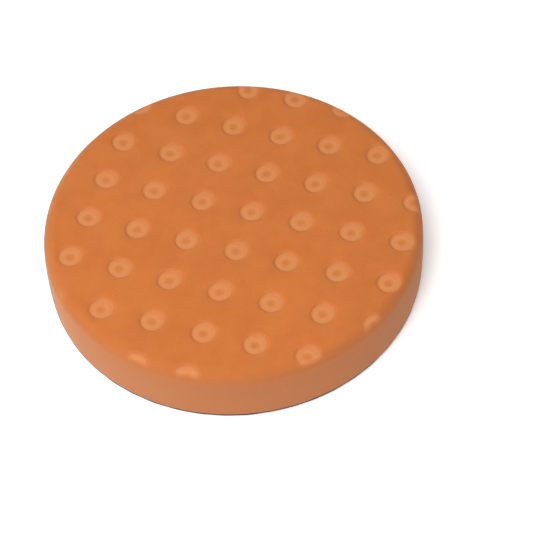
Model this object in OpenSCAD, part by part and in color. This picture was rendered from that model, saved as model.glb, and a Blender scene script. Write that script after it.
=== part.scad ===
// Round foam polishing pad with a dimpled working face and a loop-fastener back.
// The pad lies on its back: the loops touch z = 0 and the working face looks up (+Z).
// The origin is the centre of the back, on the surface that the pad rests on.

/* [Foam disc] */
// Widest diameter of the foam
foam_d = 165; // [120:1:200]
// Thickness of the foam
foam_t = 26.4; // [18:0.1:40]
// Height of the widest place, as a share of the foam's thickness
widest_share = 0.4; // [0.3:0.05:0.6]
// How far the side draws in from the widest place up to the working face
face_draw_in = 1; // [0.2:0.1:2]
// How far the side draws in from the widest place down to the back
back_draw_in = 0.2; // [0:0.1:1]
// Radius that rolls the working face over into the side
face_edge_r = 5.5; // [1:0.5:6]
// Radius that eases the foam's edge at the back
back_edge_r = 0.8; // [0.2:0.1:1.5]

/* [Pockets] */
// Spacing of the pressed pockets, the same both ways
pocket_pitch = 22.4; // [18:0.1:30]
// Where the grid starts along X, as a share of the spacing
pocket_start_x = 0.27; // [0:0.01:0.99]
// Where the grid starts along Y, as a share of the spacing
pocket_start_y = 0.37; // [0:0.01:0.99]
// Radius of a pocket's mouth in the working face
pocket_mouth_r = 5.8; // [5:0.1:7]
// Radius of a pocket's floor
pocket_floor_r = 4.2; // [2:0.1:4.8]
// Depth of a pocket below the working face
pocket_depth = 1; // [0.8:0.1:3.5]
// How far outside the rim a pocket's centre may lie and still leave its mark
pocket_overrun = 1; // [0:0.1:3]

/* [Loop back] */
// Diameter of the loop cloth
cloth_d = 164.4; // [119:0.1:200]
// Thickness of the knitted ground of the loop cloth
cloth_t = 0.5; // [0.4:0.1:1.5]
// Height of the standing loops
loop_t = 0.8; // [0.6:0.1:2.5]
// How far the loops stop inside the cloth's cut edge
loop_inset = 0.4; // [0:0.1:2]
// Thickness of the adhesive film between the foam and the cloth
film_t = 0.2; // [0.2:0.1:0.8]
// How far the film's edge stays inside the cloth's cut edge
film_inset = 0.6; // [0:0.1:1.5]

/* [Hidden] */
$fn = 96;

cloth_z = loop_t;
film_z = cloth_z + cloth_t;
foam_z = film_z + film_t;
face_z = foam_z + foam_t;

foam_r = foam_d / 2;
cloth_r = cloth_d / 2;
film_r = cloth_r - film_inset;
loop_r = cloth_r - loop_inset;

// The side draws in evenly from its widest place towards both edges.
widest_z = foam_t * widest_share;
function side_r(z) = foam_r - (z > widest_z
    ? face_draw_in * (z - widest_z) / (foam_t - widest_z)
    : back_draw_in * (widest_z - z) / widest_z);

// The pocket's wall goes on past the face at the same slope, so the cut is clean there.
pocket_slope = (pocket_mouth_r - pocket_floor_r) / pocket_depth;
cut_past_face = 1;

pocket_reach = ceil(foam_r / pocket_pitch) + 1;
pocket_centres = [
    for (i = [-pocket_reach : pocket_reach], j = [-pocket_reach : pocket_reach])
        let (x = (i + pocket_start_x) * pocket_pitch, y = (j + pocket_start_y) * pocket_pitch)
            if (norm([x, y]) < foam_r + pocket_overrun) [x, y]
];

// The quarter of a disc of radius r that lies at x > 0, y > 0
module quarter_disc(r) {
    intersection() {
        circle(r);
        square(r);
    }
}

// Half of the foam's cross-section, from its axis out to the swollen side
module foam_section() {
    side_bottom = back_edge_r;
    side_top = foam_t - face_edge_r;
    back_flat_r = side_r(side_bottom) - back_edge_r;
    face_flat_r = side_r(side_top) - face_edge_r;

    square([back_flat_r, side_bottom]);
    translate([back_flat_r, side_bottom]) mirror([0, 1]) quarter_disc(back_edge_r);
    polygon([
        [0, side_bottom],
        [side_r(side_bottom), side_bottom],
        [foam_r, widest_z],
        [side_r(side_top), side_top],
        [0, side_top]
    ]);
    translate([0, side_top]) square([face_flat_r, face_edge_r]);
    translate([face_flat_r, side_top]) quarter_disc(face_edge_r);
}

// One pocket: a shallow dish with sloping walls, open at the working face
module pocket() {
    translate([0, 0, -pocket_depth])
        cylinder(
            h = pocket_depth + cut_past_face,
            r1 = pocket_floor_r,
            r2 = pocket_mouth_r + cut_past_face * pocket_slope
        );
}

// Open-cell foam with a grid of pockets pressed into its working face
module foam_disc() {
    color("#d17940")
        difference() {
            translate([0, 0, foam_z]) rotate_extrude() foam_section();
            for (c = pocket_centres) translate([c.x, c.y, face_z]) pocket();
        }
}

// Hot-melt film that bonds the cloth to the foam
module adhesive_film() {
    color("#b9a48c") translate([0, 0, film_z]) cylinder(h = film_t, r = film_r);
}

// Knitted ground of the loop fastener
module backing_cloth() {
    color("#23242a") translate([0, 0, cloth_z]) cylinder(h = cloth_t, r = cloth_r);
}

// The field of standing loops that grips a hook-faced backing plate
module loop_pile() {
    color("#2e3038") cylinder(h = loop_t, r = loop_r);
}

foam_disc();
adhesive_film();
backing_cloth();
loop_pile();
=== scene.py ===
"""Looks of the foam polishing pad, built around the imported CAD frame.

The frame is the CAD model's: the pad lies on its loop back, on z = 0. Lengths are in metres,
except where a comment says mm.
"""
import math
import random

import bpy
import numpy as np
from mathutils import Matrix, Vector
from mathutils.geometry import delaunay_2d_cdt


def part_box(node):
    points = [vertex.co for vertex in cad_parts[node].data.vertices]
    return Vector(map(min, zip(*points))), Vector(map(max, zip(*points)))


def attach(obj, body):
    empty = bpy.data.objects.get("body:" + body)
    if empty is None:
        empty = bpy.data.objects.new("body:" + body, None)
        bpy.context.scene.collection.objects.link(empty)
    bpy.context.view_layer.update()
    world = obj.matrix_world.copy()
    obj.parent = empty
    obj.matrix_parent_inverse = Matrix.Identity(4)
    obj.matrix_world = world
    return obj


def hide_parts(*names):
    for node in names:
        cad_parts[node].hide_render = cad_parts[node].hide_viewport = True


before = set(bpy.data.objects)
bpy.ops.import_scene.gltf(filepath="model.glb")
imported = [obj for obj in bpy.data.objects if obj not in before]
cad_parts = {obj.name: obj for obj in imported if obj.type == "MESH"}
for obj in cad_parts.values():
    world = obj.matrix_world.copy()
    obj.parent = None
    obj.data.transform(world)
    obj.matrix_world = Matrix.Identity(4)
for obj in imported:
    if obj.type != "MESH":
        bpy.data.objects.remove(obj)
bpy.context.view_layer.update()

MM = 0.001
TAU = 2 * math.pi

foam_low, foam_high = (Vector(corner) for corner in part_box("foam_disc"))
film_low, film_high = (Vector(corner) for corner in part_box("adhesive_film"))
cloth_low, cloth_high = (Vector(corner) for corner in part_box("backing_cloth"))
loop_low, loop_high = (Vector(corner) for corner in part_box("loop_pile"))

FOAM_R = (foam_high.x - foam_low.x) / 2
FOAM_T = foam_high.z - foam_low.z
FACE_Z = foam_high.z
CLOTH_R = (cloth_high.x - cloth_low.x) / 2
FILM_R = (film_high.x - film_low.x) / 2
LOOP_R = (loop_high.x - loop_low.x) / 2

# Sizes of the foam's section, as in the CAD model. Its side is straight there and curved here.
WIDEST_SHARE = 0.4
FACE_DRAW_IN = 1.0 * MM
BACK_DRAW_IN = 0.2 * MM
FACE_EDGE_R = 5.5 * MM
BACK_EDGE_R = 0.8 * MM
# The soft face sinks a little towards its middle. The CAD model's face is flat.
FACE_SAG = 1.45 * MM

# The pocket grid, as in the CAD model: its spacing, and its start as a share of the spacing
PITCH = 22.4 * MM
GRID_START = (0.27, 0.37)
# How far outside the rim a pocket's centre may lie and still mark the foam. It is more than
# in the CAD model, because the pockets run out softly here.
OVERRUN = 5.0 * MM

# Points in every ring that goes round the whole pad
RIM_STEPS = 720


# ---------------------------------------------------------------- camera

# Azimuth, elevation and roll, in degrees
CAMERA_TURNS = (19.59, 52.68, 3.39)
# How far the camera is from the face's centre along its view, and to the right and below
CAMERA_DISTANCE = 746.0 * MM
CAMERA_ASIDE = 14.69 * MM
CAMERA_BELOW = 19.9 * MM
# The lens, in mm
SENSOR_WIDTH = 36
FOCAL_LENGTH = 116.9


def add_camera():
    """A long lens that looks down on the pad, rolled a little to the right."""
    azimuth, elevation, roll = (math.radians(a) for a in CAMERA_TURNS)
    level_right = Vector((math.cos(azimuth), math.sin(azimuth), 0))
    ahead = Vector((-math.sin(azimuth) * math.cos(elevation),
                    math.cos(azimuth) * math.cos(elevation),
                    -math.sin(elevation)))
    level_up = level_right.cross(ahead)
    right = math.cos(roll) * level_right - math.sin(roll) * level_up
    up = math.sin(roll) * level_right + math.cos(roll) * level_up
    face_centre = Vector((0, 0, FACE_Z))
    place = face_centre - CAMERA_DISTANCE * ahead + CAMERA_ASIDE * right - CAMERA_BELOW * up

    data = bpy.data.cameras.new("camera")
    data.sensor_width = SENSOR_WIDTH
    data.lens = FOCAL_LENGTH
    data.clip_start = 0.01
    data.clip_end = 20
    camera = bpy.data.objects.new("camera", data)
    turn = Matrix((right, up, -ahead)).transposed().to_4x4()
    camera.matrix_world = Matrix.Translation(place) @ turn
    bpy.context.collection.objects.link(camera)
    bpy.context.scene.camera = camera


# ---------------------------------------------------------------- pockets

# A pocket's depth below the face, from its centre outwards, both in mm: a button with a dip
# in its middle, a shallow crease round it, and a wall that runs out softly into the face.
POCKET_R = (0.0, 0.9, 2.0, 2.8, 3.4, 3.9, 4.4, 4.8, 5.2, 5.6, 6.1, 7.0, 8.5, 10.0)
POCKET_D = (1.20, 1.16, 1.00, 0.92, 0.92, 0.95, 0.97, 0.90, 0.70, 0.46, 0.28, 0.14, 0.05, 0.0)

# How the pockets differ from each other: the seed, then the standard deviations of their
# depth and of their width one way and the other, as shares
POCKET_SEED = 7
DEPTH_SPREAD = 0.08
OVAL_SPREAD = 0.03


def pocket_centres():
    """Centres of all pockets that mark the foam."""
    reach = math.ceil(FOAM_R / PITCH) + 1
    steps = range(-reach, reach + 1)
    grid = [((i + GRID_START[0]) * PITCH, (j + GRID_START[1]) * PITCH)
            for i in steps for j in steps]
    return [c for c in grid if math.hypot(*c) < FOAM_R + OVERRUN]


CENTRES = pocket_centres()
rng = np.random.default_rng(POCKET_SEED)
POCKET_GAIN = 1 + DEPTH_SPREAD * rng.standard_normal(len(CENTRES))
POCKET_STRETCH = OVAL_SPREAD * rng.standard_normal(len(CENTRES))
POCKET_HEADING = rng.uniform(0, math.pi, len(CENTRES))


def smooth_curve(x, xs, ys):
    """Values at x of the smooth curve through the points xs, ys (monotone cubic Hermite)."""
    xs, ys = np.asarray(xs, float), np.asarray(ys, float)
    step = np.diff(xs)
    slope = np.diff(ys) / step
    before, after = slope[:-1], slope[1:]
    same = before * after > 0
    inner = np.zeros_like(before)
    inner[same] = 2 * before[same] * after[same] / (before[same] + after[same])
    tangent = np.zeros_like(ys)
    tangent[1:-1] = inner

    k = np.clip(np.searchsorted(xs, x, side="right") - 1, 0, len(step) - 1)
    u = np.clip((x - xs[k]) / step[k], 0, 1)
    h = step[k]
    return ((2 * u**3 - 3 * u**2 + 1) * ys[k] + (u**3 - 2 * u**2 + u) * h * tangent[k]
            + (3 * u**2 - 2 * u**3) * ys[k + 1] + (u**3 - u**2) * h * tangent[k + 1])


def nearest_pocket(xy):
    """For each point: its distance from the nearest pocket's centre, and that pocket's index.

    The foam never gives evenly, so each pocket is a little wider one way than the other."""
    away = xy[:, None, :] - np.array(CENTRES)[None, :, :]
    gaps = np.hypot(away[..., 0], away[..., 1])
    which = gaps.argmin(axis=1)
    rows = np.arange(len(xy))
    bearing = np.arctan2(away[rows, which, 1], away[rows, which, 0])
    oval = 1 + POCKET_STRETCH[which] * np.cos(2 * (bearing - POCKET_HEADING[which]))
    return gaps[rows, which] * oval, which


def pocket_dip(xy):
    """How far the pockets push the face down at each point, and its distance from a centre."""
    gap, which = nearest_pocket(xy)
    depth = smooth_curve(gap / MM, POCKET_R, POCKET_D) * MM
    return depth * POCKET_GAIN[which], gap


# ---------------------------------------------------------------- mesh helpers

def new_piece(name, points, faces):
    """A smooth-shaded piece that rides on the pad's one body."""
    mesh = bpy.data.meshes.new(name)
    mesh.from_pydata([tuple(p) for p in points], [], [tuple(f) for f in faces])
    mesh.validate()
    mesh.polygons.foreach_set("use_smooth", [True] * len(mesh.polygons))
    mesh.update()
    piece = bpy.data.objects.new(name, mesh)
    bpy.context.collection.objects.link(piece)
    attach(piece, "root")
    return piece


def add_values(piece, name, values):
    """Stores one number a vertex, for a material to read."""
    layer = piece.data.attributes.new(name, "FLOAT", "POINT")
    layer.data.foreach_set("value", np.asarray(values, np.float32))


def ring_strip(first, second, count):
    """Quads between two rings of count points that start at indices first and second."""
    return [(first + k, first + (k + 1) % count, second + (k + 1) % count, second + k)
            for k in range(count)]


def skirt(upper, lower):
    """Quads from one ring, a list of indices, down to the next."""
    count = len(upper)
    return [(upper[k], lower[k], lower[(k + 1) % count], upper[(k + 1) % count])
            for k in range(count)]


# ---------------------------------------------------------------- foam

# Steps down the foam's section: round the face's edge, down the side, round the back's edge
FACE_EDGE_STEPS = 9
SIDE_STEPS = 20
BACK_EDGE_STEPS = 3
# Rings on the flat of the back, as shares of the foam's radius
BACK_RINGS = (0.75, 0.4)

# Rings of points round each pocket's centre, in mm, closest together on its wall
POCKET_RINGS = (0.0, 0.7, 1.3, 1.9, 2.4, 2.9, 3.4, 3.8, 4.15, 4.45, 4.65,
                4.85, 5.05, 5.3, 5.6, 6.0, 6.5, 7.1, 7.8, 8.7, 9.7)
# Points in such a ring for each mm of its radius, within limits
POINTS_PER_MM = 11
FEWEST_POINTS = 8
MOST_POINTS = 60
# How far these points stay from the flat's rim
POCKET_RIM_GAP = 0.35 * MM
# The even spread of points between the pockets: its step, and how far it stays from the
# pockets' centres and from the flat's rim
SPREAD_STEP = 2.0 * MM
SPREAD_POCKET_GAP = 10.3 * MM
SPREAD_RIM_GAP = 1.0 * MM
# Points closer than this become one
MERGE_DISTANCE = 1e-7


def side_r(z):
    """Radius of the foam's side at a height, drawn in above and below its widest place."""
    widest = foam_low.z + WIDEST_SHARE * FOAM_T
    if z > widest:
        return FOAM_R - FACE_DRAW_IN * ((z - widest) / (FACE_Z - widest)) ** 2
    return FOAM_R - BACK_DRAW_IN * ((widest - z) / (widest - foam_low.z)) ** 2


def foam_profile():
    """Outer section of the foam as (r, z) points, from the face's edge down to its back."""
    high_z = FACE_Z - FACE_EDGE_R
    low_z = foam_low.z + BACK_EDGE_R
    flat_r = side_r(high_z) - FACE_EDGE_R
    back_r = side_r(low_z) - BACK_EDGE_R
    section = []
    for k in range(FACE_EDGE_STEPS + 1):
        a = math.pi / 2 * (1 - k / FACE_EDGE_STEPS)
        section.append((flat_r + FACE_EDGE_R * math.cos(a), high_z + FACE_EDGE_R * math.sin(a)))
    for k in range(1, SIDE_STEPS + 1):
        z = high_z + (low_z - high_z) * k / SIDE_STEPS
        section.append((side_r(z), z))
    for k in range(1, BACK_EDGE_STEPS + 1):
        a = -math.pi / 2 * k / BACK_EDGE_STEPS
        section.append((back_r + BACK_EDGE_R * math.cos(a), low_z + BACK_EDGE_R * math.sin(a)))
    return section


def section_rings(section):
    """Rings of the side and the back: (r, z, distance along the surface from the face's edge)."""
    steps = np.diff(np.array(section), axis=0)
    run = np.cumsum(np.hypot(*steps.T))
    rings = [(r, z, past) for (r, z), past in zip(section[1:], run)]
    return rings + [(share * FOAM_R, foam_low.z, run[-1]) for share in BACK_RINGS]


def ring_points(cx, cy):
    """Rings of points round one pocket's centre."""
    points = []
    for k, r in enumerate(POCKET_RINGS):
        count = 1 if r == 0 else int(np.clip(round(r * POINTS_PER_MM), FEWEST_POINTS, MOST_POINTS))
        shift = 0.5 * (k % 2)
        for m in range(count):
            a = TAU * (m + shift) / count
            points.append((cx + r * MM * math.cos(a), cy + r * MM * math.sin(a)))
    return points


def face_points(edge_r):
    """Points that cover the flat of the face, closer together in and round the pockets."""
    points = np.array([p for cx, cy in CENTRES for p in ring_points(cx, cy)])
    points = points[np.hypot(points[:, 0], points[:, 1]) < edge_r - POCKET_RIM_GAP]

    reach = math.ceil(edge_r / SPREAD_STEP)
    spread = np.array([((i + 0.5 * (j % 2)) * SPREAD_STEP, j * SPREAD_STEP * math.sqrt(3) / 2)
                       for j in range(-2 * reach, 2 * reach + 1)
                       for i in range(-reach - 1, reach + 1)])
    spread = spread[np.hypot(spread[:, 0], spread[:, 1]) < edge_r - SPREAD_RIM_GAP]
    gap, _ = nearest_pocket(spread)
    return np.vstack([points, spread[gap > SPREAD_POCKET_GAP]])


def rim_circle():
    """A ring of RIM_STEPS points with a radius of 1."""
    angles = np.arange(RIM_STEPS) * TAU / RIM_STEPS
    return np.c_[np.cos(angles), np.sin(angles)]


def cover_flat(edge_r):
    """Triangles over the flat of the face: the points, the faces and the rim's indices."""
    points = np.vstack([rim_circle() * edge_r, face_points(edge_r)])
    rim_edges = [(k, (k + 1) % RIM_STEPS) for k in range(RIM_STEPS)]
    made = delaunay_2d_cdt([Vector(p) for p in points], rim_edges, [], 1, MERGE_DISTANCE)
    new_points, _, new_faces, sources = made[:4]
    rim = [0] * RIM_STEPS
    for index, olds in enumerate(sources):
        for old in olds:
            if old < RIM_STEPS:
                rim[old] = index
    return np.array([tuple(p) for p in new_points]), [tuple(f) for f in new_faces], rim


def press_face(xy, z, past_edge, edge_r, back_edge):
    """Heights with the pockets and the sag pressed in above the back's edge, and pocket gaps."""
    dip, gap = pocket_dip(xy)
    sag = FACE_SAG * np.clip(1 - (np.hypot(xy[:, 0], xy[:, 1]) / edge_r) ** 2, 0, None)
    pressed = np.minimum(z, FACE_Z - dip - sag)
    return np.where(past_edge > back_edge, z, pressed), gap


def add_foam():
    """The foam, with two numbers a vertex: how far it is past the flat's edge and from a pocket."""
    section = foam_profile()
    edge_r = section[0][0]
    rings = section_rings(section)
    flat, faces, upper = cover_flat(edge_r)
    around = rim_circle()

    xy = [flat]
    z = [np.full(len(flat), FACE_Z)]
    past_edge = [np.hypot(flat[:, 0], flat[:, 1]) - edge_r]
    first = len(flat)
    for r, height, past in rings:
        xy.append(around * r)
        z.append(np.full(RIM_STEPS, height))
        past_edge.append(np.full(RIM_STEPS, past))
        lower = list(range(first, first + RIM_STEPS))
        faces += skirt(upper, lower)
        first += RIM_STEPS
        upper = lower
    faces.append(tuple(reversed(upper)))

    xy = np.vstack(xy)
    past_edge = np.concatenate(past_edge)
    back_edge = rings[-1][2] - BACK_EDGE_R
    z, gap = press_face(xy, np.concatenate(z), past_edge, edge_r, back_edge)

    piece = new_piece("foam_pad", np.c_[xy, z], faces)
    add_values(piece, "past_edge", past_edge / MM)
    add_values(piece, "pocket_gap", gap / MM)
    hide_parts("foam_disc")
    piece.data.materials.append(foam_material())


# ---------------------------------------------------------------- materials

class Nodes:
    """A short way to make and link a material's nodes."""

    def __init__(self, name):
        self.material = bpy.data.materials.new(name)
        self.material.use_nodes = True
        self.tree = self.material.node_tree
        self.shader = self.tree.nodes["Principled BSDF"]

    def add(self, kind, inputs=(), **settings):
        """A new node with its inputs fed and its settings made."""
        node = self.tree.nodes.new(kind)
        for key, value in settings.items():
            setattr(node, key, value)
        for key, value in dict(inputs).items():
            self.feed(node.inputs[key], value)
        return node

    def feed(self, socket, value):
        """Links a node's output to a socket, or sets the socket to a plain value."""
        if isinstance(value, bpy.types.NodeSocket):
            self.tree.links.new(value, socket)
        else:
            socket.default_value = value

    def surface(self, values):
        """Feeds the shader's own sockets, by name."""
        for name, value in values.items():
            self.feed(self.shader.inputs[name], value)

    def bump(self, height, strength, distance):
        """Shades the surface as if height stood up by distance."""
        inputs = {"Height": height, "Strength": strength, "Distance": distance}
        node = self.add("ShaderNodeBump", inputs)
        self.feed(self.shader.inputs["Normal"], node.outputs[0])

    def number(self, operation, *values):
        """The result of one math node."""
        node = self.add("ShaderNodeMath", operation=operation)
        for k, value in enumerate(values):
            self.feed(node.inputs[k], value)
        return node.outputs[0]

    def mix(self, factor, one, two):
        """A colour between one and two. A mix node keeps its colour sockets after the others."""
        node = self.add("ShaderNodeMix", data_type="RGBA")
        for key, value in ((0, factor), (6, one), (7, two)):
            self.feed(node.inputs[key], value)
        return node.outputs[2]

    def ramp(self, value, stops, smooth=True):
        """A curve from value through (place, height) stops, as a number."""
        node = self.add("ShaderNodeValToRGB", {0: value})
        ramp = node.color_ramp
        ramp.interpolation = "EASE" if smooth else "LINEAR"
        while len(ramp.elements) < len(stops):
            ramp.elements.new(0.5)
        for element, (place, height) in zip(ramp.elements, stops):
            element.position = place
            element.color = (height, height, height, 1)
        return node.outputs[0]

    def place(self):
        """Each point's place on the object, in metres."""
        return self.add("ShaderNodeTexCoord").outputs["Object"]

    def value_of(self, name):
        """The number that add_values stored under this name."""
        return self.add("ShaderNodeAttribute", attribute_name=name).outputs["Fac"]

    def noise(self, vector, scale, detail, rough):
        """Soft noise, from 0 to 1."""
        inputs = {"Vector": vector, "Scale": scale, "Detail": detail, "Roughness": rough}
        return self.add("ShaderNodeTexNoise", inputs).outputs[0]

    def cells(self, vector, scale):
        """How far each point is from its cell's middle, as a share of a cell's size."""
        inputs = {"Vector": vector, "Scale": scale}
        return self.add("ShaderNodeTexVoronoi", inputs).outputs["Distance"]


def rgb(red, green, blue):
    """A screen colour, 0 to 255, as the linear colour that a shader takes."""
    def linear(c):
        c /= 255
        return c / 12.92 if c <= 0.04045 else ((c + 0.055) / 1.055) ** 2.4
    return (linear(red), linear(green), linear(blue), 1)


# The foam's colours: the face and its mottle, the cut side, the pressed skin, and a deeper
# orange painted as shade on the pockets' walls and in the open cells
FACE_COLOUR = rgb(196, 112, 50)
MOTTLE_COLOUR = rgb(202, 118, 55)
SIDE_COLOUR = rgb(182, 111, 62)
SKIN_COLOUR = rgb(212, 138, 82)
PAINTED_SHADE_COLOUR = rgb(192, 84, 26)

# How much of the side's colour and of the pockets' tints shows, along a path over the rounded
# edge. The path starts EDGE_START mm inside the flat's rim and is EDGE_PATH mm long.
EDGE_START = 10.0
EDGE_PATH = 25.0
SIDE_STOPS = ((0.0, 0), (0.40, 0.10), (0.48, 0.30), (0.57, 0.56), (0.66, 0.8), (0.76, 0.97),
              (0.9, 1))
FACE_STOPS = ((0.5, 1), (0.66, 0))

# How much the skin, the painted shade on the pockets' walls and the smooth finish show, from a
# pocket's centre out to POCKET_SPAN mm. The painted shade is mixed in by the share set below, at
# most.
POCKET_SPAN = 10.0
SKIN_STOPS = ((0.08, 0.32), (0.28, 1), (0.36, 0.92), (0.44, 0.80), (0.53, 0.3), (0.68, 0))
WALL_SHADE_STOPS = ((0.46, 0), (0.54, 1), (0.62, 0))
WALL_SHADE_SHARE = 0.2
SMOOTH_STOPS = ((0.52, 1), (0.66, 0))

# The foam is rough, and the pressed skin less so.
FOAM_ROUGHNESS = 0.9
SKIN_SMOOTHING = 0.35

# Sizes of the mottle and of the fine and coarse cells, as texture scales
MOTTLE_SCALE = 90.0
FINE_CELLS = 2200.0
COARSE_CELLS = 1100.0
# How much each size of cell adds to the grain, and how far a fine cell's middle is darkened as
# painted shade
FINE_SHARE = 0.6
COARSE_SHARE = 0.4
OPEN_STOPS = ((0.1, 0), (0.5, 1))
PORE_SHADE_SHARE = 0.15
# Draws a noise's middle values apart
MIDDLE_STOPS = ((0.3, 0), (0.7, 1))


def foam_colour(n, where, pores, spread, along, on_face):
    """The foam's colour: mottled face, duller cut side, pressed skin, and painted shade on the
    pockets' walls and in the open cells.
    """
    on_side = n.ramp(along, SIDE_STOPS, smooth=False)
    skin = n.number("MULTIPLY", n.ramp(spread, SKIN_STOPS), on_face)
    # Painted shade: a deeper orange darkens the pockets' walls, where shade falls.
    wall_shade_share = n.number("MULTIPLY", on_face, WALL_SHADE_SHARE)
    wall = n.number("MULTIPLY", n.ramp(spread, WALL_SHADE_STOPS), wall_shade_share)
    mottle = n.noise(where, scale=MOTTLE_SCALE, detail=3.0, rough=0.55)
    colour = n.mix(n.ramp(mottle, MIDDLE_STOPS), FACE_COLOUR, MOTTLE_COLOUR)
    colour = n.mix(on_side, colour, SIDE_COLOUR)
    colour = n.mix(skin, colour, SKIN_COLOUR)
    colour = n.mix(wall, colour, PAINTED_SHADE_COLOUR)
    # Painted shade in the middle of each open cell.
    middle = n.number("SUBTRACT", 1.0, n.ramp(pores, OPEN_STOPS))
    return n.mix(n.number("MULTIPLY", middle, PORE_SHADE_SHARE), colour, PAINTED_SHADE_COLOUR)


def foam_material():
    """Matt open-cell foam that light sinks a little way into."""
    n = Nodes("orange_foam")
    where = n.place()
    spread = n.number("DIVIDE", n.value_of("pocket_gap"), POCKET_SPAN)
    along = n.number("DIVIDE", n.number("ADD", n.value_of("past_edge"), EDGE_START), EDGE_PATH)
    on_face = n.ramp(along, FACE_STOPS)
    pores = n.cells(where, FINE_CELLS)
    coarse = n.cells(where, COARSE_CELLS)
    grain = n.number("ADD", n.number("MULTIPLY", pores, FINE_SHARE),
                     n.number("MULTIPLY", coarse, COARSE_SHARE))
    smoothed = n.number("MULTIPLY", n.ramp(spread, SMOOTH_STOPS), on_face)
    smoothing = n.number("MULTIPLY", smoothed, SKIN_SMOOTHING)
    n.bump(grain, strength=0.35, distance=0.3 * MM)
    n.surface({
        "Base Color": foam_colour(n, where, pores, spread, along, on_face),
        "Roughness": n.number("SUBTRACT", FOAM_ROUGHNESS, smoothing),
        "Specular IOR Level": 0.25,
        "Sheen Weight": 0.1,
        "Sheen Roughness": 0.5,
        "Subsurface Weight": 0.7,
        "Subsurface Radius": (1.0, 0.45, 0.2),
        "Subsurface Scale": 2.0 * MM,
    })
    return n.material


# The warp knit of the cloth, with the slant in radians from one rib's edge to its middle
RIB_WIDTH = 0.9 * MM
STITCH_LENGTH = 0.7 * MM
STITCH_SLANT = 2.2


def cloth_material():
    """Black warp knit: upright ribs, each a chain of slanting stitches."""
    n = Nodes("black_knit")
    split = n.add("ShaderNodeSeparateXYZ", {0: n.place()})
    across = n.number("SINE", n.number("MULTIPLY", split.outputs[0], math.pi / RIB_WIDTH))
    ribs = n.number("ABSOLUTE", across)
    slant = n.number("ADD", n.number("MULTIPLY", split.outputs[1], TAU / STITCH_LENGTH),
                     n.number("MULTIPLY", ribs, STITCH_SLANT))
    # A stitch swings between half and full height.
    stitches = n.number("MULTIPLY_ADD", n.number("SINE", slant), 0.25, 0.75)
    height = n.number("MULTIPLY", ribs, stitches)
    n.bump(height, strength=0.6, distance=0.2 * MM)
    # The colour is darker where the knit lies low: painted shade in its hollows.
    n.surface({
        "Base Color": n.mix(height, rgb(22, 22, 27), rgb(52, 52, 60)),
        "Roughness": 0.85,
        "Sheen Weight": 0.3,
    })
    return n.material


def loop_material():
    """Black nylon yarn with a slight sheen, a little lighter in some places."""
    n = Nodes("black_loops")
    tint = n.noise(n.place(), scale=500.0, detail=2.0, rough=0.5)
    n.surface({
        "Base Color": n.mix(n.ramp(tint, MIDDLE_STOPS), rgb(28, 28, 34), rgb(74, 74, 84)),
        "Roughness": 0.55,
        "Sheen Weight": 0.4,
    })
    return n.material


def film_material():
    """Cloudy hot-melt adhesive."""
    n = Nodes("hot_melt")
    cloud = n.noise(n.place(), scale=300.0, detail=3.0, rough=0.6)
    n.surface({
        "Base Color": n.mix(cloud, rgb(150, 116, 92), rgb(188, 158, 130)),
        "Roughness": 0.45,
    })
    return n.material


# ---------------------------------------------------------------- loop back

# The waves that make a cut edge wander: how many, and how many times each goes round
EDGE_WAVES = 14
WAVE_TURNS = (3, 60)
# Rows up a disc's cut edge: height and how far the row stays in, as shares of half its thickness
EDGE_ROWS = ((-1.0, 0.55), (-0.85, 0.15), (-0.4, 0.0), (0.4, 0.0), (0.85, 0.15), (1.0, 0.55))


def disc_piece(name, radius, low, high, wobble, seed):
    """A thin disc whose cut edge wanders a little, with a rounded rim."""
    random.seed(seed)
    waves = [(random.randint(*WAVE_TURNS), random.random() * TAU, random.random())
             for _ in range(EDGE_WAVES)]
    scale = wobble / math.sqrt(len(waves))
    middle, half = (low + high) / 2, (high - low) / 2
    points, faces = [], []
    for up, back in EDGE_ROWS:
        for k in range(RIM_STEPS):
            a = TAU * k / RIM_STEPS
            stray = sum(amount * math.sin(count * a + phase) for count, phase, amount in waves)
            r = radius - back * half + scale * stray - wobble
            points.append((r * math.cos(a), r * math.sin(a), middle + up * half))
    for row in range(len(EDGE_ROWS) - 1):
        faces += ring_strip(row * RIM_STEPS, (row + 1) * RIM_STEPS, RIM_STEPS)
    faces.append(tuple(reversed(range(RIM_STEPS))))
    faces.append(tuple(range((len(EDGE_ROWS) - 1) * RIM_STEPS, len(EDGE_ROWS) * RIM_STEPS)))
    return new_piece(name, points, faces)


def add_film():
    """The hot-melt film between the foam and the cloth."""
    piece = disc_piece("adhesive_layer", FILM_R, film_low.z, film_high.z,
                       wobble=0.25 * MM, seed=3)
    piece.data.materials.append(film_material())
    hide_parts("adhesive_film")


def add_cloth():
    """The knitted ground of the loop cloth."""
    piece = disc_piece("loop_cloth_ground", CLOTH_R, cloth_low.z, cloth_high.z,
                       wobble=0.12 * MM, seed=5)
    piece.data.materials.append(cloth_material())
    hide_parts("backing_cloth")


LOOP_SEED = 11
LOOP_SPACING = 1.38 * MM
LOOP_EDGE_GAP = 1.1 * MM
YARN_R = 0.13 * MM
YARN_SIDES = 3
YARN_BENDS = 5
# How far the loops differ: off their places in mm, turned in radians, leaning in mm, their
# height as a share of the field's, and half their width in mm
LOOP_STRAY = 0.3
LOOP_TURN = 0.7
LEAN_ASIDE = 0.3
LEAN_ALONG = 0.6
LOOP_HEIGHT = (0.75, 0.98)
LOOP_HALF_WIDTH = (0.5, 0.9)
# How far a loop's ends reach up into the cloth
ROOT_DEPTH = 0.05 * MM


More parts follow.
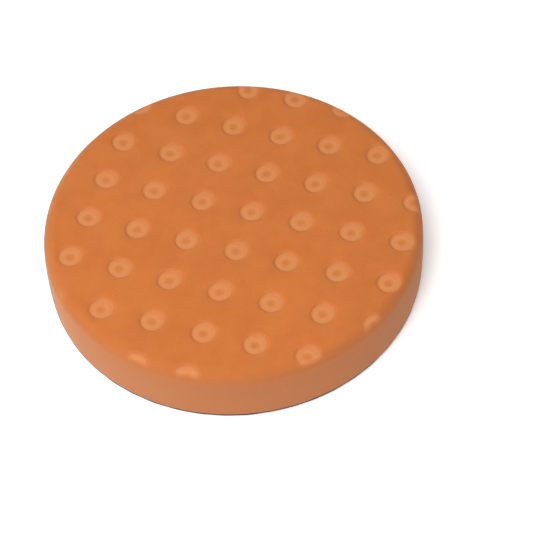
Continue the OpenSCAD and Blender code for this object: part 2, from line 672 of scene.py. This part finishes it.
def loop_places():
    """Places for the loops, each a little off its row: (x, y, 1 for every other one or 0)."""
    places = []
    reach = math.ceil(LOOP_R / LOOP_SPACING)
    for row in range(-reach, reach + 1):
        for column in range(-reach, reach + 1):
            aside = random.uniform(-LOOP_STRAY, LOOP_STRAY) * MM
            x = (column + 0.5 * (row % 2)) * LOOP_SPACING + aside
            y = row * LOOP_SPACING + random.uniform(-LOOP_STRAY, LOOP_STRAY) * MM
            if math.hypot(x, y) < LOOP_R - LOOP_EDGE_GAP:
                places.append((x, y, column % 2))
    return places


def add_loop(points, faces, x, y, turned):
    """One standing loop: a bent yarn that starts and ends in the cloth, combed towards +Y."""
    heading = random.uniform(-LOOP_TURN, LOOP_TURN) + (math.pi / 2) * turned
    along = Vector((math.cos(heading), math.sin(heading), 0))
    across = Vector((-along.y, along.x, 0))
    lean_x = random.uniform(-LEAN_ASIDE, LEAN_ASIDE)
    lean_y = random.uniform(0.0, LEAN_ALONG)
    tall = (loop_high.z - loop_low.z) * random.uniform(*LOOP_HEIGHT) - YARN_R
    wide = random.uniform(*LOOP_HALF_WIDTH) * MM
    root = Vector((x, y, loop_high.z + ROOT_DEPTH))
    hang = Vector((lean_x, lean_y, 0)) * MM - Vector((0, 0, tall + ROOT_DEPTH))
    start = len(points)
    for k in range(YARN_BENDS + 1):
        a = math.pi * k / YARN_BENDS
        spine = root - along * wide * math.cos(a) + hang * math.sin(a)
        out = -along * math.cos(a) - Vector((0, 0, 1)) * math.sin(a)
        for side in range(YARN_SIDES):
            b = TAU * side / YARN_SIDES
            points.append(spine + YARN_R * (out * math.cos(b) + across * math.sin(b)))
    for k in range(YARN_BENDS):
        faces += ring_strip(start + YARN_SIDES * k, start + YARN_SIDES * (k + 1), YARN_SIDES)
    faces.append(tuple(start + side for side in reversed(range(YARN_SIDES))))
    faces.append(tuple(start + YARN_SIDES * YARN_BENDS + side for side in range(YARN_SIDES)))


def add_loops():
    """The field of loops, in two halves so that neither mesh grows too large."""
    random.seed(LOOP_SEED)
    places = loop_places()
    material = loop_material()
    left = [place for place in places if place[0] < 0]
    right = [place for place in places if place[0] >= 0]
    for name, half in (("loops_left", left), ("loops_right", right)):
        points, faces = [], []
        for x, y, turned in half:
            add_loop(points, faces, x, y, turned)
        piece = new_piece(name, points, faces)
        piece.data.materials.append(material)
        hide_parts("loop_pile")


# ---------------------------------------------------------------- room

FLOOR_HALF = 3.0
WORLD_STRENGTH = 0.26
WHITE = (1, 1, 1, 1)


def add_floor():
    """A plain pale floor that glows a little, so that it stays white in the pad's shade."""
    half = FLOOR_HALF
    mesh = bpy.data.meshes.new("floor")
    mesh.from_pydata([(-half, -half, 0), (half, -half, 0), (half, half, 0), (-half, half, 0)],
                     [], [(0, 1, 2, 3)])
    floor = bpy.data.objects.new("floor", mesh)
    bpy.context.collection.objects.link(floor)
    n = Nodes("pale_floor")
    n.surface({
        "Base Color": (0.9, 0.9, 0.9, 1),
        "Roughness": 0.9,
        "Specular IOR Level": 0.1,
        "Emission Color": WHITE,
        "Emission Strength": 0.3,
    })
    mesh.materials.append(n.material)


def add_light(name, place, size, power):
    """A round soft light that points at the origin."""
    data = bpy.data.lights.new(name, "AREA")
    data.shape = "DISK"
    data.size = size
    data.energy = power
    light = bpy.data.objects.new(name, data)
    light.location = place
    light.rotation_euler = (-Vector(place)).to_track_quat("-Z", "Y").to_euler()
    bpy.context.collection.objects.link(light)


def add_lights():
    """Even light from all round, a key light high in front and a weaker one at the left."""
    world = bpy.data.worlds.new("room")
    world.use_nodes = True
    back = world.node_tree.nodes["Background"]
    back.inputs["Color"].default_value = WHITE
    back.inputs["Strength"].default_value = WORLD_STRENGTH
    bpy.context.scene.world = world
    add_light("key", (-0.01, -0.36, 0.725), size=0.43, power=5.52)
    add_light("left", (-0.678, -0.241, 0.62), size=0.35, power=1.9)
    bpy.context.scene.view_settings.view_transform = "Standard"


add_camera()
add_foam()
add_film()
add_cloth()
add_loops()
add_floor()
add_lights()
